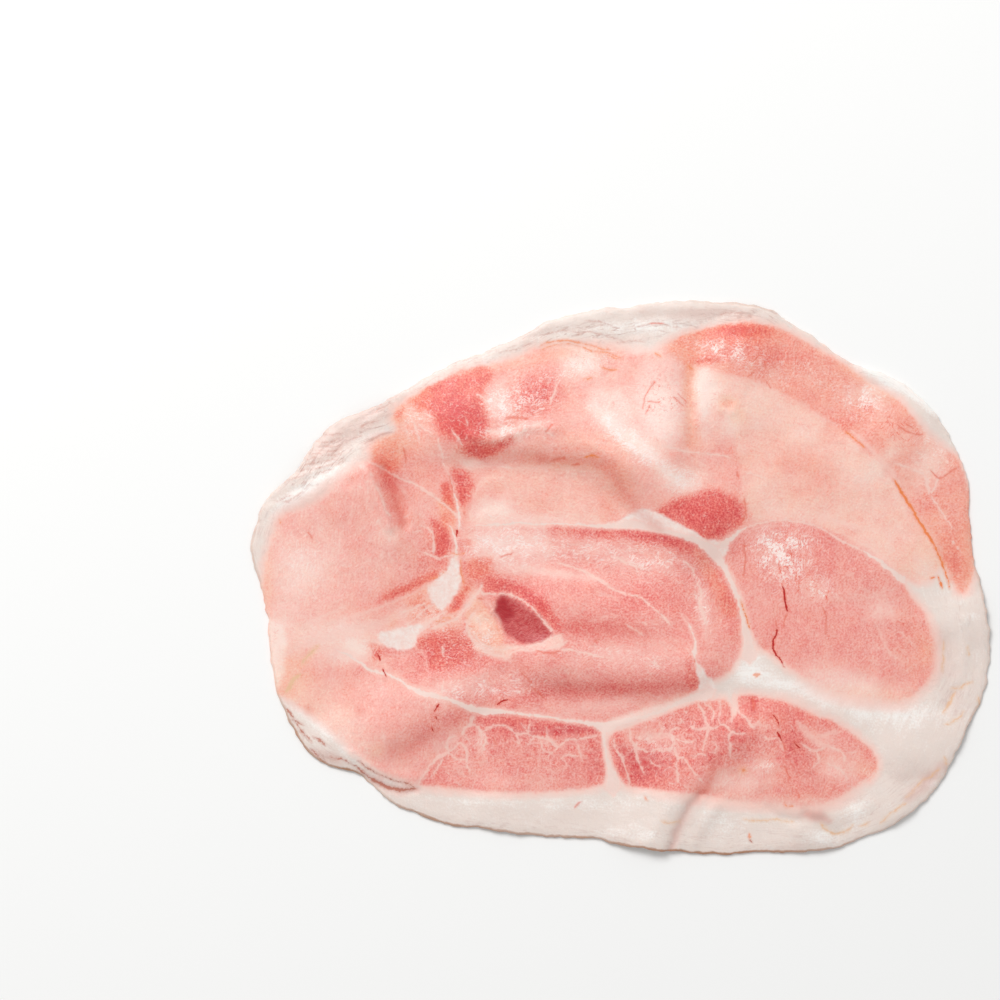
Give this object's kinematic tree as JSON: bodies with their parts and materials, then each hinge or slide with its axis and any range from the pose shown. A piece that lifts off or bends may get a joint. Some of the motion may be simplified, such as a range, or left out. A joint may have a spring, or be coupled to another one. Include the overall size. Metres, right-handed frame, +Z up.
{
  "type": "roast ham slice",
  "caption": "Thin, limp slice cut across a whole roast ham: pink muscles parted by pale seams, inside an uneven rim of white fat. It lies flat in soft folds.",
  "frame": {"origin": "centre of the slice's box, on the surface that the slice lies on", "axes": "+X along the slice's long side, +Y towards the fat of its upper edge, +Z up out of the shown face"},
  "size_m": [0.2406, 0.1802, 0.0071],
  "materials": {
    "ham_meat": "moist cooked meat with a soft sheen, pink to peach, with white seams and a white fat rim"
  },
  "bodies": {
    "root": {"ham_slice": "ham_meat"}
  },
  "joints": []
}
